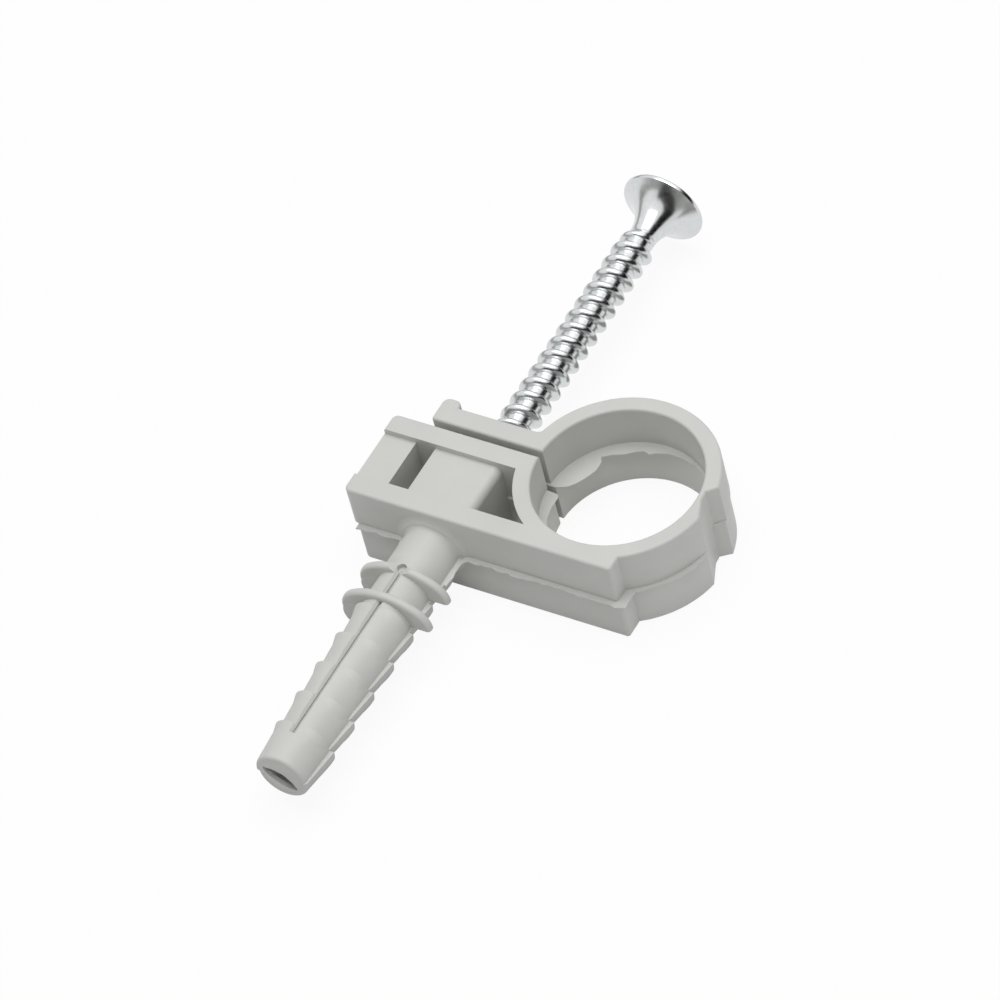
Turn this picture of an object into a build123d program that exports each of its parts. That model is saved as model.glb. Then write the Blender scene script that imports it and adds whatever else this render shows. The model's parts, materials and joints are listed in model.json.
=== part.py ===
"""Moulded pipe clip with its own wall plug, and the countersunk screw that closes it.

Frame: +Z is the pipe's axis, the plug points along -Y into the wall, the screw's head is on +Y.
The origin is on the plug's axis, in the wall plane, at the parting plane of the mould.
Millimetres and degrees.
"""
from build123d import *
import math
import os

os.makedirs("parts", exist_ok=True)

# Pipe and strap ring
PIPE_RADIUS = 10.0          # 20 mm pipe
RING_WALL_UPPER = 2.1       # the strap's thickness round each half's own bore
RING_WALL_LOWER = 2.25
LOWER_DROP = 0.16           # the lower ring's outside sits this much nearer to the wall than its bore
AXIS_SPACING = 19.2         # from the plug's axis to the ring's centre, along X
HINGE_WALL = 0.75           # what is left of the strap at its living hinge
HINGE_STEP = 12.5           # the thick strap ends at this angle from +X
HINGE_FLOOR_TOP = 8.0       # the hinge's floor lies between these angles
HINGE_FLOOR_LOW = 2.0
HINGE_RAMP = -11.0          # the strap is thick again from here on
HINGE_SPREAD = 3.0          # the cut widens by this angle outside the strap
HINGE_CLEAR = 2.5           # and reaches past the strap by this

# Block between the wall and the strap
HALF_HEIGHT = 5.9           # each half of the mould is this deep
BLOCK_LEFT = 11.2           # the block's end, from the plug's axis
BLOCK_DEPTH = 12.65         # from the wall plane to the slit
FRONT_WALL = 2.65
BACK_WALL = 2.65
FOOT_REACH = 6.0            # the front wall runs past the ring's centre by this
FOOT_DEPTH = 4.0
END_WEB = 4.35              # web that closes the block's end
BOSS_HALF_WIDTH = 4.5       # solid part round the screw
BOSS_RECESS = 0.8           # boss and web lie this far under the walls' edges
BOSS_ROUND = 1.1
SLIT_GAP = 0.85

# Clamping arm, free at its left end
ARM_THICKNESS = 2.6
ARM_REACH = 6.6             # the arm's end, from the plug's axis
SEAT_DEPTH = 2.2            # conical seat of the screw's head in the arm
LIP_LENGTH = 2.4
LIP_RISE = 1.05
LIP_ROUND = 0.9

# The two halves of the mould don't quite meet: the upper one stands off by this
SHIFT_X = 0.7
SHIFT_Y = 0.35
PLUG_SHIFT = 0.3            # across the plug they meet better
BORE_GROWTH = 0.45          # the upper bore is larger by this, so that the pipe still passes
BORE_FREE = 0.02            # least gap between the pipe and the upper bore

# Plug
PLUG_LENGTH = 37.0
COLLAR_RADIUS = 3.65
COLLAR_LENGTH = 4.8
COLLAR_FLARE = 0.5
NECK_RADIUS = 3.45          # between the fins
NECK_BARBS = 2              # the upper half's neck takes the place of these barbs
BARB_RADIUS = 3.95          # lower half
BARB_RADIUS_UPPER = 3.6
BARB_VALLEY = 3.25
BARB_START = 3.0
BARB_PITCH = 4.75
BARB_COUNT = 7
BARB_CROWN = 3.4            # the barbs are sharp at the sides, and fade to this height above and below
BARB_SIDE = 0.1
TIP_RADIUS = 3.3
TIP_ROUND = 0.4
CUT_FIN_PLACE = 6.7         # two fins on the upper half: this one is cut by the splitting groove
WHOLE_FIN_PLACE = 11.1      # this one bridges it
FIN_HALF_WIDTH = 6.1
FIN_HALF_HEIGHT = 4.1
FIN_END_ROUND = 3.2         # radius of a fin's outline at its two ends
FIN_THICKNESS = 1.1
FIN_EDGE_ROUND = 0.45
GROOVE_FLOOR = 2.95         # the plug splits along this V groove; its floor from the plug's axis
GROOVE_RISE = 1.6           # the groove's sides climb by this, at 45 degrees
GROOVE_START = 6.3
GROOVE_END = 32.8
EYE_DIAMETER = 1.2          # round hollow where the groove starts
EYE_FLOOR = 2.85

# Screw
SCREW_LENGTH = 60.0
SCREW_RADIUS = 2.5          # over the thread
CORE_RADIUS = 1.75
POINT_LENGTH = 5.5
THREAD_PITCH = 2.33
THREAD_ROOT = 1.3           # width of the thread's ridge at the core and at its crest
THREAD_CREST = 0.3
THREAD_SINK = 0.15          # the ridge reaches into the core by this
HEAD_RADIUS = 5.35
HEAD_RIM = 0.9
HEAD_TRUMPET = 4.9          # length of the hollow cone under the rim
HEAD_AT = 58.3              # the head's face from the wall plane, with the screw part-driven
RECESS_TOP = 2.3            # cross recess: half its width at the face and at its floor
RECESS_FLOOR = 0.9
RECESS_DEPTH = 2.4
RECESS_SLOT = 0.9
SCREW_CLEARANCE = 0.15

EDGE_ROUND = 0.35
CORNER_ROUND = 0.8

ring_centre = Vector(AXIS_SPACING, BLOCK_DEPTH + SLIT_GAP / 2)
arm_inner = BLOCK_DEPTH + SLIT_GAP
arm_outer = arm_inner + ARM_THICKNESS
pocket_depth = BLOCK_DEPTH - FRONT_WALL - BACK_WALL
screw_bore = SCREW_RADIUS + SCREW_CLEARANCE
seat_radius = HEAD_RADIUS + SCREW_CLEARANCE

# Each half of the strap has an origin of its own, and the lower half's face is the wall plane
upper_origin = Vector(-SHIFT_X / 2, SHIFT_Y)
lower_origin = Vector(SHIFT_X / 2, 0)
upper_bore = upper_origin + ring_centre
pipe_axis = upper_bore + (lower_origin - upper_origin).normalized() * (BORE_GROWTH - BORE_FREE)


def polar(centre, radius, angle):
    """Point at an angle from +X round a centre."""
    turn = math.radians(angle)
    return (centre.X + radius * math.cos(turn), centre.Y + radius * math.sin(turn))


def corner(sketch, x, y):
    """The sketch's corner that is nearest to a point of its plane."""
    return sketch.vertices().sort_by_distance((x, y, 0))[0]


def plug_half(up):
    """Half of the plug about the Y axis, with its fins and groove, and still without its bore."""
    first_barb = NECK_BARBS if up else 0
    steps = [-BARB_START - BARB_PITCH * barb for barb in range(first_barb, BARB_COUNT)]
    barb_radius = BARB_RADIUS_UPPER if up else BARB_RADIUS
    side = 1 if up else -1

    with BuildPart() as barbs:
        with BuildSketch(Plane.XY):
            with BuildLine():
                saw = [(0, steps[0])]
                for step, next_step in zip(steps, steps[1:]):
                    saw += [(barb_radius, step), (BARB_VALLEY, next_step)]
                saw += [(barb_radius, steps[-1]), (TIP_RADIUS, TIP_ROUND - PLUG_LENGTH)]
                Polyline(*saw)
                RadiusArc(saw[-1], (TIP_RADIUS - TIP_ROUND, -PLUG_LENGTH), TIP_ROUND)
                Polyline((TIP_RADIUS - TIP_ROUND, -PLUG_LENGTH), (0, -PLUG_LENGTH), saw[0])
            make_face()
        revolve(axis=Axis.Y)
        with BuildSketch(Plane.XZ):
            Ellipse(barb_radius + BARB_SIDE, BARB_CROWN)
        extrude(amount=PLUG_LENGTH, mode=Mode.INTERSECT)

    # A fin's outline is an oval of two wide arcs, rounded where they meet
    end_centre = FIN_HALF_WIDTH - FIN_END_ROUND
    arc_rise = FIN_HALF_HEIGHT - FIN_END_ROUND
    arc_radius = (end_centre**2 + FIN_HALF_HEIGHT**2 - FIN_END_ROUND**2) / (2 * arc_rise)
    with BuildPart() as fin:
        with BuildSketch(Plane.XZ) as oval:
            with Locations((0, FIN_HALF_HEIGHT - arc_radius)):
                Circle(arc_radius)
            with Locations((0, arc_radius - FIN_HALF_HEIGHT)):
                Circle(arc_radius, mode=Mode.INTERSECT)
            fillet(oval.vertices(), FIN_END_ROUND)
        extrude(amount=FIN_THICKNESS / 2, both=True)
        fillet(fin.faces().filter_by(Axis.Y).edges(), FIN_EDGE_ROUND)

    with BuildPart() as half:
        flare = COLLAR_RADIUS + COLLAR_FLARE
        neck_end = -BARB_START - BARB_PITCH * NECK_BARBS
        with BuildSketch(Plane.XY):
            with BuildLine():
                Polyline((0, neck_end), (0, FRONT_WALL / 2), (flare, FRONT_WALL / 2), (flare, 0))
                RadiusArc((flare, 0), (COLLAR_RADIUS, -COLLAR_FLARE), -COLLAR_FLARE)
                Polyline((COLLAR_RADIUS, -COLLAR_FLARE), (COLLAR_RADIUS, -COLLAR_LENGTH),
                         (NECK_RADIUS, COLLAR_RADIUS - NECK_RADIUS - COLLAR_LENGTH - COLLAR_FLARE),
                         (NECK_RADIUS, neck_end), (0, neck_end))
            make_face()
        revolve(axis=Axis.Y)
        add(barbs.part)
        if up:
            add(fin.part.moved(Location((0, -CUT_FIN_PLACE, 0))))
        with BuildSketch(Plane.XZ.offset(GROOVE_START)):
            with BuildLine():
                Polyline((0, side * GROOVE_FLOOR), (GROOVE_RISE, side * (GROOVE_FLOOR + GROOVE_RISE)),
                         (-GROOVE_RISE, side * (GROOVE_FLOOR + GROOVE_RISE)), close=True)
            make_face()
        extrude(amount=GROOVE_END - GROOVE_START, mode=Mode.SUBTRACT)
        with BuildSketch(Plane.XY.offset(side * EYE_FLOOR)):
            with Locations((0, -GROOVE_START)):
                Circle(EYE_DIAMETER / 2)
        extrude(amount=side * GROOVE_RISE, mode=Mode.SUBTRACT)
        if up:
            add(fin.part.moved(Location((0, -WHOLE_FIN_PLACE, 0))))
        split(bisect_by=Plane.XY, keep=Keep.TOP if up else Keep.BOTTOM)
    return half.part


def strap_half(up):
    """Block, ring and arm of one mould half about the half's own origin."""
    side = 1 if up else -1
    origin = upper_origin if up else lower_origin
    bore_centre = (upper_bore if up else pipe_axis) - origin
    bore_radius = PIPE_RADIUS + BORE_GROWTH if up else PIPE_RADIUS
    ring_radius = bore_radius + (RING_WALL_UPPER if up else RING_WALL_LOWER)
    rim_centre = bore_centre if up else bore_centre - Vector(0, LOWER_DROP)
    hinge_floor = bore_radius + HINGE_WALL
    hinge_outside = ring_radius + HINGE_CLEAR
    arm_root = rim_centre.X - math.sqrt(ring_radius**2 - (arm_outer - rim_centre.Y) ** 2)
    boss_left = -origin.X - BOSS_HALF_WIDTH
    boss_right = -origin.X + BOSS_HALF_WIDTH
    end_plane = Plane.XY.offset(side * HALF_HEIGHT)

    with BuildPart() as half:
        with BuildSketch(Plane.XY) as outline:
            with Locations((rim_centre.X, rim_centre.Y)):
                Circle(ring_radius)
            with Locations((-BLOCK_LEFT, 0)):
                Rectangle(BLOCK_LEFT + AXIS_SPACING, BLOCK_DEPTH, align=Align.MIN)
            with Locations((AXIS_SPACING, 0)):
                Rectangle(FOOT_REACH, FOOT_DEPTH, align=Align.MIN)
            with Locations((-ARM_REACH, arm_inner)):
                Rectangle(ARM_REACH + AXIS_SPACING, ARM_THICKNESS, align=Align.MIN)
                Rectangle(LIP_LENGTH, ARM_THICKNESS + LIP_RISE, align=Align.MIN)
            with Locations((-BLOCK_LEFT, BLOCK_DEPTH)):
                Rectangle(BLOCK_LEFT + AXIS_SPACING, SLIT_GAP, align=Align.MIN, mode=Mode.SUBTRACT)
            with Locations((bore_centre.X, bore_centre.Y)):
                Circle(bore_radius, mode=Mode.SUBTRACT)
            with BuildLine():
                Polyline(polar(rim_centre, hinge_outside, HINGE_STEP + HINGE_SPREAD),
                         polar(rim_centre, ring_radius, HINGE_STEP),
                         polar(bore_centre, hinge_floor, HINGE_FLOOR_TOP),
                         polar(bore_centre, hinge_floor, HINGE_FLOOR_LOW),
                         polar(rim_centre, ring_radius, HINGE_RAMP),
                         polar(rim_centre, hinge_outside, HINGE_RAMP - HINGE_SPREAD), close=True)
            make_face(mode=Mode.SUBTRACT)
            lip_top = arm_outer + LIP_RISE
            fillet([corner(outline, x - ARM_REACH, lip_top) for x in (0, LIP_LENGTH)], LIP_ROUND)
            fillet([corner(outline, -BLOCK_LEFT, y) for y in (0, BLOCK_DEPTH)], CORNER_ROUND)
            fillet(corner(outline, arm_root, arm_outer), CORNER_ROUND)
            fillet(corner(outline, AXIS_SPACING + FOOT_REACH, 0), EDGE_ROUND)
            fillet(corner(outline, -ARM_REACH, arm_inner), EDGE_ROUND)
        extrude(amount=side * HALF_HEIGHT)
        fillet(half.faces().sort_by(Axis.Z)[-1 if up else 0].edges(), EDGE_ROUND)

        # Boss and end web are set below the walls, and the block is open on both sides of the boss
        with BuildSketch(end_plane):
            with Locations((-BLOCK_LEFT, FRONT_WALL)):
                Rectangle(BLOCK_LEFT + AXIS_SPACING, pocket_depth, align=Align.MIN)
            with Locations((rim_centre.X, rim_centre.Y)):
                Circle(ring_radius, mode=Mode.SUBTRACT)
        extrude(amount=-side * BOSS_RECESS, mode=Mode.SUBTRACT)
        with BuildSketch(end_plane):
            with Locations((END_WEB - BLOCK_LEFT, FRONT_WALL)):
                Rectangle(BLOCK_LEFT - END_WEB + boss_left, pocket_depth, align=Align.MIN)
            with Locations((boss_right, FRONT_WALL)):
                Rectangle(AXIS_SPACING - boss_right, pocket_depth, align=Align.MIN)
            with Locations((rim_centre.X, rim_centre.Y)):
                Circle(ring_radius, mode=Mode.SUBTRACT)
        extrude(amount=-side * HALF_HEIGHT, mode=Mode.SUBTRACT)
        boss_edge = (boss_right, FRONT_WALL + pocket_depth / 2, side * (HALF_HEIGHT - BOSS_RECESS))
        fillet(half.edges().filter_by(Axis.Y).sort_by_distance(boss_edge)[0], BOSS_ROUND)
    return half.part


upper_half = strap_half(True)
lower_half = strap_half(False)
upper_plug = plug_half(True)
lower_plug = plug_half(False)

with BuildPart() as clip:
    add(upper_half.moved(Location(upper_origin)))
    add(lower_half.moved(Location(lower_origin)))
    add(upper_plug.moved(Location((-PLUG_SHIFT / 2, 0, 0))))
    add(lower_plug.moved(Location((PLUG_SHIFT / 2, 0, 0))))
    # Screw's way through the arm, the boss and the plug, with a seat for its head in the arm
    with BuildSketch(Plane.XY):
        with BuildLine():
            Polyline((0, -PLUG_LENGTH - TIP_ROUND), (screw_bore, -PLUG_LENGTH - TIP_ROUND),
                     (screw_bore, arm_outer - SEAT_DEPTH), (seat_radius, arm_outer),
                     (seat_radius, arm_outer + LIP_RISE), (0, arm_outer + LIP_RISE), close=True)
        make_face()
    revolve(axis=Axis.Y, mode=Mode.SUBTRACT)
clip.part.label = "clip_body"

# One turn of the thread, swept along a helix; the screw carries as many whole turns as it has room for
screw_tip = HEAD_AT - SCREW_LENGTH
trumpet_end = HEAD_AT - HEAD_RIM - HEAD_TRUMPET
turns = math.floor((trumpet_end - screw_tip - POINT_LENGTH) / THREAD_PITCH)

with BuildPart() as thread_turn:
    with BuildLine() as turn_path:
        Helix(pitch=THREAD_PITCH, height=THREAD_PITCH, radius=CORE_RADIUS,
              center=(0, trumpet_end - turns * THREAD_PITCH, 0), direction=(0, 1, 0))
    start = turn_path.line @ 0
    with BuildSketch(Plane(origin=start, x_dir=Vector(start.X, 0, start.Z), z_dir=turn_path.line % 0)):
        with BuildLine():
            crest = SCREW_RADIUS - CORE_RADIUS
            Polyline((-THREAD_SINK, -THREAD_ROOT / 2), (crest, -THREAD_CREST / 2),
                     (crest, THREAD_CREST / 2), (-THREAD_SINK, THREAD_ROOT / 2), close=True)
        make_face()
    sweep(path=turn_path.line, is_frenet=True)

with BuildPart() as screw:
    recess_planes = (Plane.XY, Plane.XY.rotated((0, 90, 0)))
    with BuildSketch(recess_planes[1]):
        with BuildLine():
            spread = HEAD_RADIUS - CORE_RADIUS
            trumpet_radius = (HEAD_TRUMPET**2 + spread**2) / (2 * spread)
            Polyline((0, screw_tip), (CORE_RADIUS, screw_tip + POINT_LENGTH), (CORE_RADIUS, trumpet_end))
            RadiusArc((CORE_RADIUS, trumpet_end), (HEAD_RADIUS, HEAD_AT - HEAD_RIM), trumpet_radius)
            Polyline((HEAD_RADIUS, HEAD_AT - HEAD_RIM), (HEAD_RADIUS, HEAD_AT), (0, HEAD_AT), (0, screw_tip))
        make_face()
    revolve(axis=Axis.Y)
    add([thread_turn.part.moved(Location((0, THREAD_PITCH * turn, 0))) for turn in range(turns)])
    for blade in recess_planes:
        with BuildSketch(blade):
            with BuildLine():
                Polyline((-RECESS_TOP, HEAD_AT), (-RECESS_FLOOR, HEAD_AT - RECESS_DEPTH),
                         (RECESS_FLOOR, HEAD_AT - RECESS_DEPTH), (RECESS_TOP, HEAD_AT), close=True)
            make_face()
        extrude(amount=RECESS_SLOT / 2, both=True, mode=Mode.SUBTRACT)
screw.part.label = "screw"

export_step(clip.part, "parts/clip_body.step")
export_step(screw.part, "parts/screw.step")
print("pipe axis", pipe_axis)
print("wall to driven head", arm_outer + HEAD_RIM)
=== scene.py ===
# %% [markdown]
# # A pipe clip with its own wall plug, and its screw
# The clip is one injection moulding in light grey plastic: ring, living hinge, block, arm and plug.
# A zinc-plated screw stands part-driven in it. This lesson loads the measured solids, gives the
# moulding soft edges and the trim that a mould leaves, turns and threads the screw, and lights both
# as a catalogue photograph would.

# %% Load the measured solids
import bpy
import json
import math
import random
from mathutils import Matrix, Vector

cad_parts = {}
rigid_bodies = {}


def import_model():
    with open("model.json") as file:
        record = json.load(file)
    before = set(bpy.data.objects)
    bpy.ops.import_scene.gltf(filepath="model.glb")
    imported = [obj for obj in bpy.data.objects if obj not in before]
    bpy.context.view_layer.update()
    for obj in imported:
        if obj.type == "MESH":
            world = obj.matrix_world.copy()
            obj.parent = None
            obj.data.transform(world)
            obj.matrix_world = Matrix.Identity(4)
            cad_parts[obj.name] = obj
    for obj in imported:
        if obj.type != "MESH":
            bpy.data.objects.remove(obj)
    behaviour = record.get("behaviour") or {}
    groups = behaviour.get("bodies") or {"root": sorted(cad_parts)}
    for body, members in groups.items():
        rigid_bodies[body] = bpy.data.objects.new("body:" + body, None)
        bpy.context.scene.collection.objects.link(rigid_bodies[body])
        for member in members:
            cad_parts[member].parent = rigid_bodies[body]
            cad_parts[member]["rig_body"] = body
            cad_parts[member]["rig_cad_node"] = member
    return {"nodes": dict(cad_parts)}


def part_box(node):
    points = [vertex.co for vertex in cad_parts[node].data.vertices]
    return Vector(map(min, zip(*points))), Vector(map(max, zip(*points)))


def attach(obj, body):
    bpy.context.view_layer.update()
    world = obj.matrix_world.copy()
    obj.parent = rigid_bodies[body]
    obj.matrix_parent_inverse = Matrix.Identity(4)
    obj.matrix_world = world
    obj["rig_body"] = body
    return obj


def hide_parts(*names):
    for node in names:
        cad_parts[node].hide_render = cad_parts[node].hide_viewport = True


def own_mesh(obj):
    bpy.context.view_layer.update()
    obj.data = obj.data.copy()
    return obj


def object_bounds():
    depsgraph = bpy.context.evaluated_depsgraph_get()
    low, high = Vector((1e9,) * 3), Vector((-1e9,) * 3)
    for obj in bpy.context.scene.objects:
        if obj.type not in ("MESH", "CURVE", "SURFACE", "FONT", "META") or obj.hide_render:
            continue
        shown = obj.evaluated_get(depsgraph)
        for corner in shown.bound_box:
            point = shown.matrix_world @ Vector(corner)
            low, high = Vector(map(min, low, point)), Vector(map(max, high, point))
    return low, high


MM = 0.001

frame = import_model()
cad_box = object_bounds()
clip_low, clip_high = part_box("clip_body")
screw_low, screw_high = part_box("screw")
print("clip", clip_low / MM, clip_high / MM)
print("screw", screw_low / MM, screw_high / MM)

# %% [markdown]
# ## Helpers
# Operators work on what is selected, so each step first clears the selection. A finished piece has
# its place in its mesh and its object at the origin. Small details are prisms: an outline in two axes,
# drawn out along the third.

# %% Small helpers for selecting, placing, shading and cutting


def only(obj):
    """Make obj the one selected and active object."""
    bpy.ops.object.select_all(action="DESELECT")
    obj.select_set(True)
    bpy.context.view_layer.objects.active = obj
    return obj


def named(name):
    """Name the object that was just added, and its mesh."""
    obj = bpy.context.object
    obj.name = name
    obj.data.name = name
    return obj


def settle(obj):
    """Write the object's place, turn and scale into its mesh."""
    only(obj)
    bpy.ops.object.transform_apply(location=True, rotation=True, scale=True)
    return obj


def apply_modifier(obj, kind, **settings):
    """Add a modifier with its settings and apply it."""
    only(obj)
    modifier = obj.modifiers.new(kind.lower(), kind)
    for key, value in settings.items():
        setattr(modifier, key, value)
    bpy.ops.object.modifier_apply(modifier=modifier.name)
    return obj


def merge(obj, gap):
    """Merge points that lie closer than the gap."""
    only(obj)
    bpy.ops.object.mode_set(mode="EDIT")
    bpy.ops.mesh.select_all(action="SELECT")
    bpy.ops.mesh.remove_doubles(threshold=gap)
    bpy.ops.object.mode_set(mode="OBJECT")
    return obj


def outwards(obj):
    """Turn every face of a closed mesh outwards."""
    only(obj)
    bpy.ops.object.mode_set(mode="EDIT")
    bpy.ops.mesh.select_all(action="SELECT")
    bpy.ops.mesh.normals_make_consistent(inside=False)
    bpy.ops.object.mode_set(mode="OBJECT")
    return obj


def smooth(obj, degrees):
    """Shade smooth, with a crease wherever two faces meet at more than this angle."""
    only(obj)
    bpy.ops.object.shade_smooth_by_angle(angle=math.radians(degrees))
    return obj


def add_mesh(name, points, edges, faces):
    """A new object from points, edges and faces."""
    mesh = bpy.data.meshes.new(name)
    mesh.from_pydata(points, edges, faces)
    obj = bpy.data.objects.new(name, mesh)
    bpy.context.collection.objects.link(obj)
    return obj


def prism(name, outline, low, high, axis):
    """A closed prism: an outline in two axes, drawn out along the third from low to high."""
    count = len(outline)
    points = [[*point] for level in (low, high) for point in outline]
    for index, point in enumerate(points):
        point.insert(axis, low if index < count else high)
    sides = [(i, (i + 1) % count, count + (i + 1) % count, count + i) for i in range(count)]
    ends = [tuple(range(count)), tuple(range(count, 2 * count))]
    return outwards(add_mesh(name, points, [], ends + sides))


def cut(obj, tool):
    """Cut the tool out of obj and drop the tool."""
    apply_modifier(obj, "BOOLEAN", operation="DIFFERENCE", solver="EXACT", object=tool)
    bpy.data.objects.remove(tool)


# %% [markdown]
# ## Colours and nodes
# Colours are written as they look on a screen, in sRGB hex, and one function makes them linear.
# One function adds a node, sets its values and links its inputs.

# %% Colour and node helpers


def colour(hex_code):
    """Linear RGBA from an sRGB hex code."""
    parts = [int(hex_code[i:i + 2], 16) / 255 for i in (1, 3, 5)]
    linear = [c / 12.92 if c <= 0.04045 else ((c + 0.055) / 1.055) ** 2.4 for c in parts]
    return (*linear, 1.0)


def node(tree, kind, settings=None, **inputs):
    """Add a node. An input is a value, or a socket of another node that it is linked to."""
    made = tree.nodes.new(kind)
    for key, value in (settings or {}).items():
        setattr(made, key, value)
    for key, value in inputs.items():
        socket = made.inputs[int(key[1:])] if key[1:].isdigit() else made.inputs[key.replace("_", " ")]
        if isinstance(value, bpy.types.NodeSocket):
            tree.links.new(value, socket)
        else:
            socket.default_value = value
    return made


def material(name):
    """A new empty material and its output node."""
    made = bpy.data.materials.new(name)
    made.use_nodes = True
    made.node_tree.nodes.clear()
    output = made.node_tree.nodes.new("ShaderNodeOutputMaterial")
    return made, made.node_tree, output


# %% [markdown]
# ## Camera
# The photograph looks down on the clip from its front right, with the camera tilted to one side, so
# that the plug runs to the lower left corner. The view is nearly parallel, as from a long lens about
# a metre away. The camera is aimed at a point between plug and ring.

# %% Camera at the photograph's viewing angle
AZIMUTH = 40.51
ELEVATION = 47.60
ROLL = 15.44
AIM = Vector((3.81, 9.44, 0.0)) * MM
DISTANCE = 1.003
VIEW_WIDTH = 118.69 * MM
SENSOR = 36.0               # in millimetres, as the camera counts them
NEAREST = 0.05

azimuth = math.radians(AZIMUTH)
elevation = math.radians(ELEVATION)
back = Vector((math.sin(azimuth) * math.cos(elevation), -math.cos(azimuth) * math.cos(elevation),
               math.sin(elevation)))
camera_data = bpy.data.cameras.new("camera")
camera = bpy.data.objects.new("camera", camera_data)
bpy.context.collection.objects.link(camera)
turn = (-back).to_track_quat("-Z", "Y").to_matrix() @ Matrix.Rotation(-math.radians(ROLL), 3, "Z")
camera.matrix_world = Matrix.Translation(AIM + back * DISTANCE) @ turn.to_4x4()
camera_data.sensor_width = SENSOR
camera_data.lens = SENSOR * DISTANCE / VIEW_WIDTH
camera_data.clip_start = NEAREST
bpy.context.scene.camera = camera
bpy.context.scene.view_settings.view_transform = "Standard"
print("lens", round(camera_data.lens, 1), "mm")

# %% [markdown]
# ## Plastic
# The clip is polypropylene from a steel mould. The mould's ground faces leave a fine satin
# grain; the resin is dyed light grey and flows a little unevenly, which shows as faint clouds.
# Grain and clouds are noise in the object's own coordinates, with sizes in millimetres.

# %% Polypropylene, light grey, satin as moulded
GRAIN = 0.35 * MM           # coarser than the mould's real grain, which is too fine to show
CLOUD = 7.0 * MM
PLASTIC_DARK = "#C6C6C3"
PLASTIC_LIGHT = "#D2D2CF"

plastic, tree, output = material("polypropylene_light_grey")
place = node(tree, "ShaderNodeTexCoord").outputs["Object"]
clouds = node(tree, "ShaderNodeTexNoise", Vector=place, Scale=1 / CLOUD, Detail=3.0, Roughness=0.55)
grain = node(tree, "ShaderNodeTexNoise", Vector=place, Scale=1 / GRAIN, Detail=2.0, Roughness=0.5)
tint = node(tree, "ShaderNodeMix", {"data_type": "RGBA"}, _0=clouds.outputs["Fac"],
            _6=colour(PLASTIC_DARK), _7=colour(PLASTIC_LIGHT))
gloss = node(tree, "ShaderNodeMapRange", Value=grain.outputs["Fac"], To_Min=0.42, To_Max=0.58)
bump = node(tree, "ShaderNodeBump", Height=grain.outputs["Fac"], Strength=0.10, Distance=0.05 * MM)
skin = node(tree, "ShaderNodeBsdfPrincipled", Base_Color=tint.outputs[2], IOR=1.49,
            Roughness=gloss.outputs["Result"], Normal=bump.outputs["Normal"])
tree.links.new(skin.outputs["BSDF"], output.inputs["Surface"])
print("material", plastic.name)

# %% [markdown]
# ## Zinc plating
# The screw is cold-formed steel with bright zinc. Zinc is a bluish-white metal; plating is smooth but
# not a mirror, and rolling the thread leaves faint marks along the flanks.

# %% Steel with bright zinc plating
MARKS = 0.6 * MM
ZINC_DARK = "#C9CCCE"
ZINC_LIGHT = "#E2E4E4"

zinc, tree, output = material("steel_bright_zinc_plated")
place = node(tree, "ShaderNodeTexCoord").outputs["Object"]
marks = node(tree, "ShaderNodeTexNoise", Vector=place, Scale=1 / MARKS, Detail=4.0, Roughness=0.6)
tint = node(tree, "ShaderNodeMix", {"data_type": "RGBA"}, _0=marks.outputs["Fac"],
            _6=colour(ZINC_DARK), _7=colour(ZINC_LIGHT))
gloss = node(tree, "ShaderNodeMapRange", Value=marks.outputs["Fac"], To_Min=0.14, To_Max=0.30)
plating = node(tree, "ShaderNodeBsdfPrincipled", Base_Color=tint.outputs[2], Metallic=1.0,
               Roughness=gloss.outputs["Result"])
tree.links.new(plating.outputs["BSDF"], output.inputs["Surface"])
print("material", zinc.name)

# %% [markdown]
# ## The moulding
# The solid already has the moulding's form. Its mesh comes as loose triangles with hard shading, so a
# copy is merged into one skin. Two small cuts follow: a fine slit along the bottom of the plug's
# groove, and a wide notch that lets the first fin fall away on both sides of the groove. Then the skin
# is shaded smooth up to a crease angle.

# %% Clip body from the measured solid
CREASE = 32.0
MERGE = 0.0005 * MM
PLUG_SHIFT = 0.3 * MM       # the plug's upper half stands off its lower half by this, along X
PLUG_AXIS = -PLUG_SHIFT / 2
SLIT_HALF = 0.14 * MM
SLIT_FLOOR = 2.78 * MM
SLIT_TOP = 3.25 * MM
SLIT_ENDS = (-32.85 * MM, -6.4 * MM)
NOTCH_FLOOR = 3.2 * MM
NOTCH_TOP = 4.4 * MM
NOTCH_HALF = 2.1 * MM
NOTCH_ENDS = (-7.4 * MM, -6.0 * MM)

only(frame["nodes"]["clip_body"])
bpy.ops.object.duplicate()
moulding = named("moulding")
moulding.parent = None
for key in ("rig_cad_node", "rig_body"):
    if key in moulding:
        del moulding[key]
bpy.ops.mesh.customdata_custom_splitnormals_clear()
merge(moulding, MERGE)

slit = [(PLUG_AXIS - SLIT_HALF, SLIT_FLOOR), (PLUG_AXIS + SLIT_HALF, SLIT_FLOOR),
        (PLUG_AXIS + SLIT_HALF, SLIT_TOP), (PLUG_AXIS - SLIT_HALF, SLIT_TOP)]
notch = [(PLUG_AXIS, NOTCH_FLOOR), (PLUG_AXIS + NOTCH_HALF, NOTCH_TOP), (PLUG_AXIS - NOTCH_HALF, NOTCH_TOP)]
cut(moulding, prism("slit", slit, *SLIT_ENDS, axis=1))
cut(moulding, prism("notch", notch, *NOTCH_ENDS, axis=1))
smooth(moulding, CREASE)
apply_modifier(moulding, "WEIGHTED_NORMAL", keep_sharp=True)
moulding.data.materials.clear()
moulding.data.materials.append(plastic)
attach(moulding, "clip")
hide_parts("clip_body")
print("moulding", len(moulding.data.polygons), "faces")

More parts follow.
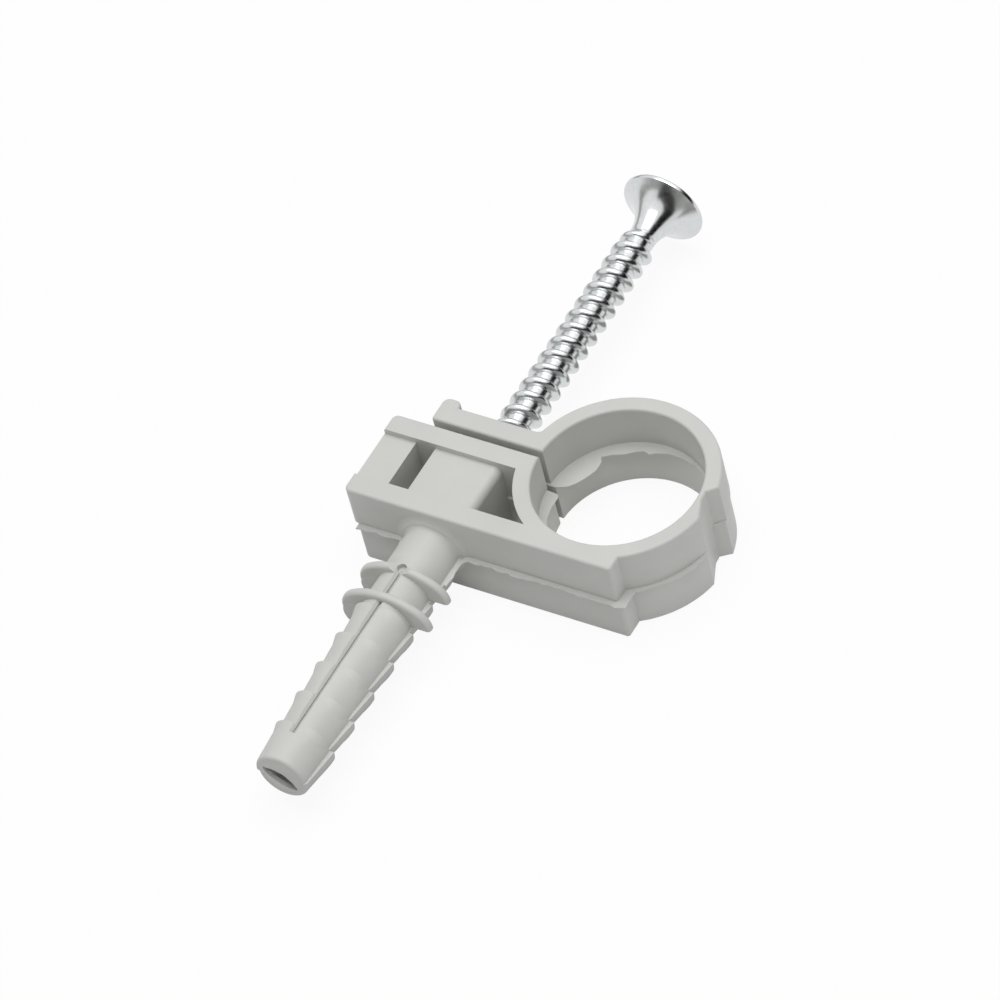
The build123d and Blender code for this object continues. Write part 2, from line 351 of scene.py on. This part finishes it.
# %% [markdown]
# ## Flash from the mould
# Where the mould's halves meet, plastic creeps into the joint. Outside it leaves a thin, uneven ledge
# along the parting line. Inside the ring it leaves a thin skin on the step between the halves, widest
# beside the slit.

# %% Flash along the parting line
RIM_CENTRE = Vector((19.235, 13.073)) * MM
RIM_RADIUS = 12.25 * MM
RIM_FROM = -59.0
RIM_TO = -12.0
RIM_STEP = 3.4
# Corners of the parting line in millimetres: from the plug to the foot's end, and left of the plug
RIGHT_CORNERS = ((3.85, -4.6), (3.85, -1.0), (4.6, 0.0), (25.55, 0.0))
LEFT_CORNERS = ((-10.6, 0.0), (-4.4, 0.0), (-3.7, -1.0), (-3.7, -4.6))
FLASH_REACH = 0.4 * MM
FLASH_HOLD = 0.3 * MM       # the flash reaches into the wall by this
FLASH_STEP = 0.7 * MM
FLASH_LOW = -0.16 * MM
FLASH_HIGH = 0.02 * MM
UNEVEN = 0.4
FLASH_SEED = 11

dice = random.Random(FLASH_SEED)


def along(points, step):
    """Points at even steps along a line of corners."""
    line = []
    for start, end in zip(points, points[1:]):
        pieces = max(1, round((end - start).length / step))
        line += [start.lerp(end, i / pieces) for i in range(pieces)]
    return [*line, points[-1]]


def on_circle(centre, radius, degrees):
    """A point of a circle, at an angle from +X."""
    turn_by = math.radians(degrees)
    return centre + radius * Vector((math.cos(turn_by), math.sin(turn_by)))


def flash(name, line):
    """An uneven thin ledge on the right of a line in the parting plane."""
    inner = []
    outer = []
    for before, point, after in zip([line[0], *line], line, [*line[1:], line[-1]]):
        way = (after - before).normalized()
        aside = Vector((way.y, -way.x))
        outer.append(point + aside * FLASH_REACH * (1 + UNEVEN * dice.uniform(-1.0, 1.0)))
        inner.append(point - aside * FLASH_HOLD)
    return prism(name, [tuple(p) for p in outer + inner[::-1]], FLASH_LOW, FLASH_HIGH, axis=2)


def plastic_detail(obj):
    """A detail of the clip in the clip's own plastic."""
    smooth(obj, CREASE)
    obj.data.materials.clear()
    obj.data.materials.append(plastic)
    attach(obj, "clip")


right_line = along([Vector(corner) * MM for corner in RIGHT_CORNERS], FLASH_STEP)
left_line = along([Vector(corner) * MM for corner in LEFT_CORNERS], FLASH_STEP)
angle = RIM_FROM
while angle <= RIM_TO:
    right_line.append(on_circle(RIM_CENTRE, RIM_RADIUS, angle))
    angle += RIM_STEP
for name, line in (("parting_flash_right", right_line), ("parting_flash_left", left_line)):
    plastic_detail(flash(name, line))

# %% Skin on the ledge inside the ring
UPPER_BORE = Vector((18.85, 13.425)) * MM
UPPER_RADIUS = 10.45 * MM
LOWER_BORE = Vector((19.2346, 13.2327)) * MM
LOWER_RADIUS = 10.0 * MM
SKIN_LOW = -0.14 * MM
SKIN_HIGH = 0.05 * MM
SKIN_HOLD = 0.12 * MM       # the skin reaches into the wall by this
# How far the skin reaches into the bore, in millimetres, at angles from +X
ARM_SKIN = ((178.3, 0.1), (174, 1.38), (168, 1.9), (162, 2.15), (154, 2.2), (147, 2.07),
            (142, 1.6), (139.5, 1.2), (138, 0.45), (130, 0.7), (121, 1.0), (112, 0.75),
            (106, 0.67), (101.5, 1.1), (97, 0.8), (87, 0.36), (75, 0.15), (66, 0.05))
BLOCK_SKIN = ((183.6, 0.45), (184.4, 0.8), (186.5, 0.98), (190, 0.9), (198, 0.62),
              (208, 0.3), (220, 0.06))

for name, table in (("bore_skin_arm", ARM_SKIN), ("bore_skin_block", BLOCK_SKIN)):
    inner = [on_circle(LOWER_BORE, LOWER_RADIUS - reach * MM, degrees) for degrees, reach in table]
    outer = [on_circle(UPPER_BORE, UPPER_RADIUS + SKIN_HOLD, degrees) for degrees, reach in table]
    plastic_detail(prism(name, [tuple(p) for p in inner + outer[::-1]], SKIN_LOW, SKIN_HIGH, axis=2))
print("flash", len(right_line) + len(left_line), "points")

# %% [markdown]
# ## Ears of the fins
# The two fins behind the collar have round ears on the side away from the ring, which hang below the
# parting line. Each is a flat lobe with rounded edges, sunk into the plug's wall.

# %% Lobes below the fins' left ends
FIN_PLACES = (-6.7 * MM, -11.1 * MM)
EAR_THICKNESS = 1.16 * MM   # a little proud of the fin's faces
EAR_CENTRE = Vector((-4.0, -1.0)) * MM
EAR_RADIUS = 2.3 * MM
EAR_ANGLES = range(64, 297, 8)
EAR_ROUND = 0.42 * MM
EAR_SEGMENTS = 3

ear = [tuple(on_circle(EAR_CENTRE, EAR_RADIUS, degrees)) for degrees in EAR_ANGLES]
for number, place in enumerate(FIN_PLACES, start=1):
    lobe = prism(f"fin_ear_{number}", ear, place - EAR_THICKNESS / 2, place + EAR_THICKNESS / 2, axis=1)
    apply_modifier(lobe, "BEVEL", width=EAR_ROUND, segments=EAR_SEGMENTS, limit_method="ANGLE")
    plastic_detail(lobe)
print("ears", len(FIN_PLACES))

# %% [markdown]
# ## Round details of the plug
# Several details follow the plug's round form, so one function makes them: it draws a section at even
# steps about the plug's axis and closes it. A soft fillet carries the collar into the block, and a
# gentle slope runs its other end out. Low ledges mark the barbs on top of the plug, on both sides of
# the groove.

# %% Fillet and slope at the collar, and ledges at the barbs
# Sections of the collar's details: distance from the axis and place along it, in millimetres
FILLET_SECTION = ((4.1, -0.02), (4.22, 0.08), (4.45, 0.22), (4.75, 0.32), (5.1, 0.36),
                  (5.1, 0.6), (4.1, 0.6))
RUN_OUT_SECTION = ((3.3, -4.6), (3.66, -4.6), (3.655, -4.8), (3.62, -5.02), (3.55, -5.28),
                   (3.48, -5.52), (3.44, -5.7), (3.3, -5.7))
COLLAR_STEPS = 48
BARBS = 5
FIRST_BARB = -12.5 * MM
BARB_PITCH = 4.75 * MM
BARB_CREST = 3.6 * MM
BARB_VALLEY = 3.25 * MM
BARB_OVAL = (3.7 * MM, 3.4 * MM)
LEDGE_RISE = 0.3 * MM
LEDGE_RUN = 1.7 * MM
LEDGE_TOP = 0.1 * MM        # width of the ledge's level crest
LEDGE_SINK = 0.25 * MM
LEDGE_SIDES = {"right": (10.0, 79.0), "left": (101.0, 170.0)}
LEDGE_STEPS = 16


def sector(name, first, last, steps, section_at, axis_x=0.0):
    """A closed piece about an axis along Y, with a section of (radius, y) points at each angle."""
    points = []
    for step in range(steps + 1):
        turn_by = first + (last - first) * step / steps
        section = section_at(turn_by)
        points += [(axis_x + r * math.cos(turn_by), y, r * math.sin(turn_by)) for r, y in section]
    count = len(section)
    faces = [(row + i, row + (i + 1) % count, row + count + (i + 1) % count, row + count + i)
             for row in range(0, steps * count, count) for i in range(count)]
    faces += [tuple(range(count)), tuple(range(steps * count, (steps + 1) * count))]
    return outwards(add_mesh(name, points, [], faces))


def barb_radius(turn_by):
    """The barb's height at its step: its round, cut down to an oval above."""
    across, up = BARB_OVAL
    return min(BARB_CREST, 1 / math.hypot(math.cos(turn_by) / across, math.sin(turn_by) / up))


def ledge_section(turn_by, first, last, step_y):
    """A ledge's section at its barb's step: highest in the middle, and nothing at both ends."""
    share = (turn_by - first) / (last - first)
    crest = barb_radius(turn_by)
    rise = LEDGE_RISE * math.sin(math.pi * share)
    return ((crest - LEDGE_SINK, step_y - LEDGE_RUN), (crest + rise, step_y),
            (crest + rise, step_y + LEDGE_TOP), (BARB_VALLEY - LEDGE_SINK, step_y + LEDGE_TOP))


for name, table in (("collar_fillet", FILLET_SECTION), ("collar_run_out", RUN_OUT_SECTION)):
    collar = [(r * MM, y * MM) for r, y in table]
    plastic_detail(sector(name, 0.0, math.pi, COLLAR_STEPS, lambda turn_by: collar, PLUG_AXIS))

for barb in range(BARBS):
    step_y = FIRST_BARB - BARB_PITCH * barb
    for half, ends in LEDGE_SIDES.items():
        first, last = (math.radians(end) for end in ends)
        plastic_detail(sector(f"barb_ledge_{half}_{barb + 1}", first, last, LEDGE_STEPS,
                              lambda turn_by: ledge_section(turn_by, first, last, step_y), PLUG_AXIS))
print("ledges", len(LEDGE_SIDES) * BARBS)

# %% [markdown]
# ## The plug's mouth
# The plug's end is drawn in to a flat oval mouth, and the screw's point pushes its lips apart. The ring of
# lips is made in sectors, each with a mesh of its own. A sector's two wings run on a little way under its
# neighbours and lie a little lower, so that no gap shows between them.

# %% Lips that narrow the plug's mouth
LIPS = 12
LIP_STEPS = 8
LIP_HALF = math.pi / LIPS
LIP_WING = math.radians(8.0)
LIP_UNDER = 0.04 * MM       # the wings lie this much lower
LIP_FRONT = -36.95 * MM
LIP_BULGE = 0.2 * MM
LIP_FRONT_SHAPE = ((0.08, 0.3), (0.3, 1.0), (0.65, 0.8))  # shares of the lip's depth and of its bulge
LIP_EDGE = -36.5 * MM
LIP_BACK = -34.6 * MM
LIP_ROOT = 2.76 * MM
LIP_ROUND = 0.24 * MM
LIP_FULL = 4 * LIP_ROUND    # a lip this deep has its full bulge
LIP_SLOPE = 0.9 * MM
MOUTH_LENGTH = 2.4 * MM     # half the oval's length and half its width
MOUTH_WIDTH = 0.85 * MM
MOUTH_DROP = 0.4 * MM
MOUTH_TILT = math.radians(-30.6)


def mouth_radius(turn_by):
    """Distance from the plug's axis to the oval, in a direction of the end face."""
    along_oval = math.cos(turn_by - MOUTH_TILT)
    across = math.sin(turn_by - MOUTH_TILT)
    square = (along_oval / MOUTH_LENGTH) ** 2 + (across / MOUTH_WIDTH) ** 2
    half = across * MOUTH_DROP / MOUTH_WIDTH**2
    return (math.sqrt(half**2 + square * (1 - (MOUTH_DROP / MOUTH_WIDTH) ** 2)) - half) / square


def lip_section(turn_by, middle):
    """A lip's section: thin at the back, thick and rounded at the mouth, and lower in its wings."""
    under = LIP_UNDER if abs(turn_by - middle) > LIP_HALF else 0.0
    edge = min(mouth_radius(turn_by) + under, LIP_ROOT - LIP_ROUND)
    depth = LIP_ROOT - edge
    bulge = LIP_BULGE * min(1.0, depth / LIP_FULL)
    front = LIP_FRONT + under
    rear = LIP_BACK - under
    return ((LIP_ROOT, rear), (min(edge + LIP_SLOPE, LIP_ROOT - LIP_ROUND / 2), rear),
            (edge, LIP_EDGE + under),
            *((edge + inward * depth, front - out * bulge) for inward, out in LIP_FRONT_SHAPE),
            (LIP_ROOT, front))


for lip in range(LIPS):
    middle = 2 * math.pi * lip / LIPS
    reach = LIP_HALF + LIP_WING
    piece = sector(f"mouth_lip_{lip + 1}", middle - reach, middle + reach, LIP_STEPS,
                   lambda turn_by: lip_section(turn_by, middle))
    plastic_detail(piece)
    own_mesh(piece)
print("mouth", LIPS, "lips")

# %% [markdown]
# ## The screw's turned body
# Head, neck, core and point are a body of revolution, so half a section is drawn and spun about the
# screw's axis, as on a lathe.

# %% Core and trumpet head, spun from half a section
HEAD_RADIUS = (screw_high.x - screw_low.x) / 2
CORE_RADIUS = 1.75 * MM
THREAD_RADIUS = 2.5 * MM
PITCH = 2.33 * MM
POINT_LENGTH = 5.5 * MM
HEAD_RIM = 0.5 * MM
TRUMPET = 5.3 * MM
TRUMPET_STEPS = 14
RIM_ROUND = 0.16 * MM
RIM_TUCK = 0.4              # shares of the rim's round
RIM_CHAMFER = 0.3
SPIN_STEPS = 96

head_face = screw_high.y
tip = screw_low.y
rim_low = head_face - HEAD_RIM
neck = rim_low - TRUMPET
spread = HEAD_RADIUS - CORE_RADIUS
hollow = (TRUMPET**2 + spread**2) / (2 * spread)
half_section = [(0.0, tip), (CORE_RADIUS, tip + POINT_LENGTH), (CORE_RADIUS, neck)]
for step in range(1, TRUMPET_STEPS + 1):
    y = TRUMPET * step / TRUMPET_STEPS
    half_section.append((CORE_RADIUS + hollow - math.sqrt(hollow**2 - y**2), neck + y))
half_section[-1] = (HEAD_RADIUS - RIM_TUCK * RIM_ROUND, rim_low)
half_section += [(HEAD_RADIUS, rim_low + RIM_ROUND), (HEAD_RADIUS, head_face - RIM_ROUND),
                 (HEAD_RADIUS - RIM_CHAMFER * RIM_ROUND, head_face - RIM_CHAMFER * RIM_ROUND),
                 (HEAD_RADIUS - RIM_ROUND, head_face), (0.0, head_face)]

edges = [(i, i + 1) for i in range(len(half_section) - 1)]
screw = add_mesh("screw_piece", [(x, y, 0.0) for x, y in half_section], edges, [])
only(screw)
bpy.ops.object.mode_set(mode="EDIT")
bpy.ops.mesh.select_all(action="SELECT")
bpy.ops.mesh.spin(steps=SPIN_STEPS, angle=2 * math.pi, center=(0, 0, 0), axis=(0, 1, 0))
bpy.ops.object.mode_set(mode="OBJECT")
outwards(merge(screw, MERGE))
print("turned body", len(screw.data.polygons), "faces")

# %% [markdown]
# ## The rolled thread
# The thread is a rounded ridge wound round the core. Its cross-section is drawn once, and a Screw
# modifier winds it up the shank. The ridge then runs out into the core at both ends, and follows the
# cone to the tip.

# %% Thread wound with a Screw modifier
RIDGE_WIDTH = 1.45 * MM
RIDGE_FULLNESS = 0.7        # below 1 the crest is broader than a cosine's
RIDGE_SINK = 0.25 * MM
RIDGE_POINTS = 10
TURN_STEPS = 64
TIP_CLEAR = 0.8 * MM        # the thread starts at least this far above the tip

turns = math.floor((neck - (tip + TIP_CLEAR)) / PITCH)
ridge_height = THREAD_RADIUS - CORE_RADIUS
thread_start = neck - turns * PITCH
ridge_section = [(CORE_RADIUS - RIDGE_SINK, -RIDGE_WIDTH / 2)]
for step in range(RIDGE_POINTS + 1):
    offset = step / RIDGE_POINTS - 0.5
    rise = max(0.0, math.cos(math.pi * offset)) ** RIDGE_FULLNESS
    ridge_section.append((CORE_RADIUS + ridge_height * rise, RIDGE_WIDTH * offset))
ridge_section.append((CORE_RADIUS - RIDGE_SINK, RIDGE_WIDTH / 2))
count = len(ridge_section)

edges = [(i, (i + 1) % count) for i in range(count)]
thread = add_mesh("thread", [(x, y + thread_start, 0.0) for x, y in ridge_section], edges, [])
apply_modifier(thread, "SCREW", axis="Y", angle=2 * math.pi, screw_offset=PITCH, iterations=turns,
               steps=TURN_STEPS, render_steps=TURN_STEPS, use_merge_vertices=False)
print("thread", turns, "turns", len(thread.data.polygons), "faces")

# %% Run the ridge out at both ends and along the point
RUN_OUT = 1.6 * MM
RUN_OUT_START = 0.5         # share of the ridge's height where its upper run-out begins
TIP_HEIGHT = 0.15           # share of the ridge's height that is left at the tip
LEAST_RADIUS = 0.02 * MM
THREAD_MERGE = MERGE / 10


def core_at(y):
    """The core's radius at a height of the screw's axis."""
    return CORE_RADIUS * min(1.0, max(0.0, (y - tip) / POINT_LENGTH))


thread_low = min(v.co.y for v in thread.data.vertices)
thread_high = max(v.co.y for v in thread.data.vertices)
for vertex in thread.data.vertices:
    radius = math.hypot(vertex.co.x, vertex.co.z)
    fade_top = min(1.0, max(0.0, (thread_high - RIDGE_WIDTH - vertex.co.y) / RUN_OUT + RUN_OUT_START))
    fade_low = min(1.0, max(TIP_HEIGHT, (vertex.co.y - thread_low) / POINT_LENGTH))
    core = core_at(vertex.co.y)
    wanted = max(LEAST_RADIUS, core + (radius - CORE_RADIUS) * min(fade_top, fade_low))
    vertex.co.x *= wanted / radius
    vertex.co.z *= wanted / radius
only(thread)
bpy.ops.object.mode_set(mode="EDIT")
bpy.ops.mesh.select_all(action="DESELECT")
bpy.ops.mesh.select_non_manifold()
bpy.ops.mesh.edge_face_add()
bpy.ops.object.mode_set(mode="OBJECT")
outwards(merge(thread, THREAD_MERGE))

# %% [markdown]
# ## Cross recess
# The head is driven by a cross recess. A cross of two tapered bars is cut out of its face.

# %% Cut the cross recess
RECESS_TOP = 2.3 * MM
RECESS_FLOOR = 0.9 * MM
RECESS_DEPTH = 2.4 * MM
RECESS_SLOT = 0.9 * MM
SCREW_CREASE = 38.0

bars = []
for name, angle in (("bar_a", 0.0), ("bar_b", math.pi / 2)):
    bpy.ops.object.select_all(action="DESELECT")
    bpy.ops.mesh.primitive_cube_add(size=1.0)
    bar = named(name)
    bar.scale = (2 * RECESS_TOP, 2 * RECESS_DEPTH, RECESS_SLOT)
    settle(bar)
    for vertex in bar.data.vertices:
        if vertex.co.y < 0:
            vertex.co.x *= RECESS_FLOOR / RECESS_TOP
    bar.rotation_euler = (0, angle, 0)
    bar.location = (0, head_face, 0)
    bars.append(settle(bar))
apply_modifier(screw, "BOOLEAN", operation="UNION", solver="EXACT", object=thread)
bpy.data.objects.remove(thread)
for bar in bars:
    cut(screw, bar)
smooth(screw, SCREW_CREASE)
screw.data.materials.clear()
screw.data.materials.append(zinc)
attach(screw, "screw")
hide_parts("screw")
print("screw", len(screw.data.polygons), "faces")

# %% [markdown]
# ## Studio
# The photograph is a catalogue cut-out on white: big soft light from above, weak light from all
# round, no hard shadow. The clip lies on its side on a pale floor. The floor looks white to the
# camera and in the metal's reflections, and keeps a soft shadow.

# %% Floor, world and lamp
FLOOR_SIZE = 8.0
FLOOR_GAP = 0.02 * MM
PAPER = "#F4F4F4"
SHADOW_SHARE = 0.08
WHITE = (1.0, 1.0, 1.0, 1.0)
AMBIENT = 0.41
LAMP_SIZE = 0.7
LAMP_PLACE = Vector((0.02, 0.08, 0.78))
LAMP_WATTS = 4.25


def seen_directly(tree):
    """1 for rays that come from the camera, a reflection or a clear material, and 0 for the others."""
    rays = node(tree, "ShaderNodeLightPath")
    seen = node(tree, "ShaderNodeMath", {"operation": "MAXIMUM"}, _0=rays.outputs["Is Camera Ray"],
                _1=rays.outputs["Is Glossy Ray"])
    seen = node(tree, "ShaderNodeMath", {"operation": "MAXIMUM"}, _0=seen.outputs[0],
                _1=rays.outputs["Is Transmission Ray"])
    return seen.outputs[0]


bpy.ops.object.select_all(action="DESELECT")
bpy.ops.mesh.primitive_plane_add(size=FLOOR_SIZE, location=(0, 0, cad_box[0].z - FLOOR_GAP))
floor = named("floor")

paper, tree, output = material("white_paper_floor")
sheet = node(tree, "ShaderNodeBsdfDiffuse", Color=colour(PAPER))
glow = node(tree, "ShaderNodeEmission", Color=WHITE, Strength=1.0)
seen = seen_directly(tree)
share = node(tree, "ShaderNodeMath", {"operation": "MULTIPLY"}, _0=seen, _1=1 - SHADOW_SHARE)
seen_floor = node(tree, "ShaderNodeMixShader", _0=share.outputs[0], _1=sheet.outputs[0],
                  _2=glow.outputs[0])
clear = node(tree, "ShaderNodeBsdfTransparent")
side = node(tree, "ShaderNodeNewGeometry").outputs["Backfacing"]
one_sided = node(tree, "ShaderNodeMixShader", _0=side, _1=seen_floor.outputs[0], _2=clear.outputs[0])
tree.links.new(one_sided.outputs[0], output.inputs["Surface"])
floor.data.materials.append(paper)

world = bpy.data.worlds.new("studio")
bpy.context.scene.world = world
world.use_nodes = True
tree = world.node_tree
tree.nodes.clear()
level = node(tree, "ShaderNodeMix", {"data_type": "FLOAT"}, _0=seen_directly(tree), _2=AMBIENT, _3=1.0)
surround = node(tree, "ShaderNodeBackground", Color=WHITE, Strength=level.outputs[0])
node(tree, "ShaderNodeOutputWorld", Surface=surround.outputs[0])


def soft_lamp(name, size, place, aim, watts):
    """A square area lamp at a place, turned towards an aim point."""
    data = bpy.data.lights.new(name, "AREA")
    data.size = size
    data.energy = watts
    lamp = bpy.data.objects.new(name, data)
    bpy.context.collection.objects.link(lamp)
    facing = (aim - place).to_track_quat("-Z", "Y").to_matrix().to_4x4()
    lamp.matrix_world = Matrix.Translation(place) @ facing


soft_lamp("overhead", LAMP_SIZE, LAMP_PLACE, AIM, LAMP_WATTS)

# %% [markdown]
# ## Dark cards
# Bright metal shows its surroundings. In an all-white studio the screw would vanish, so dark cards
# stand round it, as a photographer sets them: a long one beside the shank, for the dark streak along
# it, a curved wall in front for the head's dark flank, and a grey band round the horizon. Two cards
# lie on the floor: a dark one before the screw and a small grey one beside its shank. Only
# reflections show them.

# %% Cards and walls that only reflections show
SIDE_ANGLE = math.radians(25.3)
SIDE_AWAY = 0.26
SIDE_LENGTH = 2.2
SIDE_HEIGHT = 0.2
SIDE_PLACE = 0.4
SIDE_TONE = "#10100E"
WALL_STEPS = 48
FRONT_RADIUS = 0.35
FRONT_BEARINGS = (-16.0, 62.0)
FRONT_HEIGHT = 0.27
FRONT_TONE = "#2E2E2A"
HORIZON_RADIUS = 1.6
HORIZON_BEARINGS = (-180.0, 180.0)
HORIZON_HEIGHT = 0.5
HORIZON_TONE = "#A8A8A4"
CARD_LIFT = 0.05 * MM       # the cards on the floor lie this far above it
FAR_SIZE = (0.075, 0.07)
FAR_PLACE = (0.0225, -0.035)
FAR_TONE = "#3A3A36"
NEAR_SIZE = (0.012, 0.02)
NEAR_PLACE = (0.011, 0.037)
NEAR_TONE = "#9C9C96"


def reflected_only(obj, tone):
    """Paint a stage object in one tone, and show it to reflections only."""
    paint, tree, output = material("paint_" + obj.name)
    cover = node(tree, "ShaderNodeEmission", Color=colour(tone), Strength=1.0)
    tree.links.new(cover.outputs[0], output.inputs["Surface"])
    obj.data.materials.append(paint)
    obj.visible_camera = False
    obj.visible_diffuse = False
    obj.visible_shadow = False
    obj.visible_transmission = False


def card(name, width, height, place, facing, tone):
    """A flat card, its width level, turned to face a direction."""
    bpy.ops.object.select_all(action="DESELECT")
    bpy.ops.mesh.primitive_plane_add(size=1.0)
    made = named(name)
    made.scale = (width, height, 1.0)
    facing_turn = facing.to_track_quat("Z", "Y").to_matrix().to_4x4()
    made.matrix_world = Matrix.Translation(place) @ facing_turn @ made.matrix_basis
    reflected_only(settle(made), tone)


def wall(name, centre, radius, bearings, height, tone):
    """A curved wall on the floor, between two bearings in degrees from -Y towards +X."""
    start, end = (math.radians(bearing) for bearing in bearings)
    points = []
    for step in range(WALL_STEPS + 1):
        bearing = start + (end - start) * step / WALL_STEPS
        foot = centre + radius * Vector((math.sin(bearing), -math.cos(bearing), 0.0))
        points += [foot, foot + Vector((0.0, 0.0, height))]
    faces = [(2 * step, 2 * step + 2, 2 * step + 3, 2 * step + 1) for step in range(WALL_STEPS)]
    reflected_only(add_mesh(name, points, [], faces), tone)


ground = floor.location.z
up = Vector((0.0, 0.0, 1.0))
side_way = Vector((math.cos(SIDE_ANGLE), 0.0, math.sin(SIDE_ANGLE)))
side_place = SIDE_AWAY * side_way + Vector((0.0, SIDE_PLACE, 0.0))
card("side_card", SIDE_LENGTH, SIDE_HEIGHT, side_place, -side_way, SIDE_TONE)
wall("front_wall", Vector((0.0, head_face, ground)), FRONT_RADIUS, FRONT_BEARINGS, FRONT_HEIGHT,
     FRONT_TONE)
wall("horizon_band", Vector((0.0, 0.0, ground)), HORIZON_RADIUS, HORIZON_BEARINGS, HORIZON_HEIGHT,
     HORIZON_TONE)
card("floor_card_far", *FAR_SIZE, Vector((*FAR_PLACE, ground + CARD_LIFT)), up, FAR_TONE)
card("floor_card_near", *NEAR_SIZE, Vector((*NEAR_PLACE, ground + CARD_LIFT)), up, NEAR_TONE)
print("floor at", round(ground / MM, 2), "mm")

# %% Print the measured box
print("cad box", [round(v / MM, 2) for corner in cad_box for v in corner])
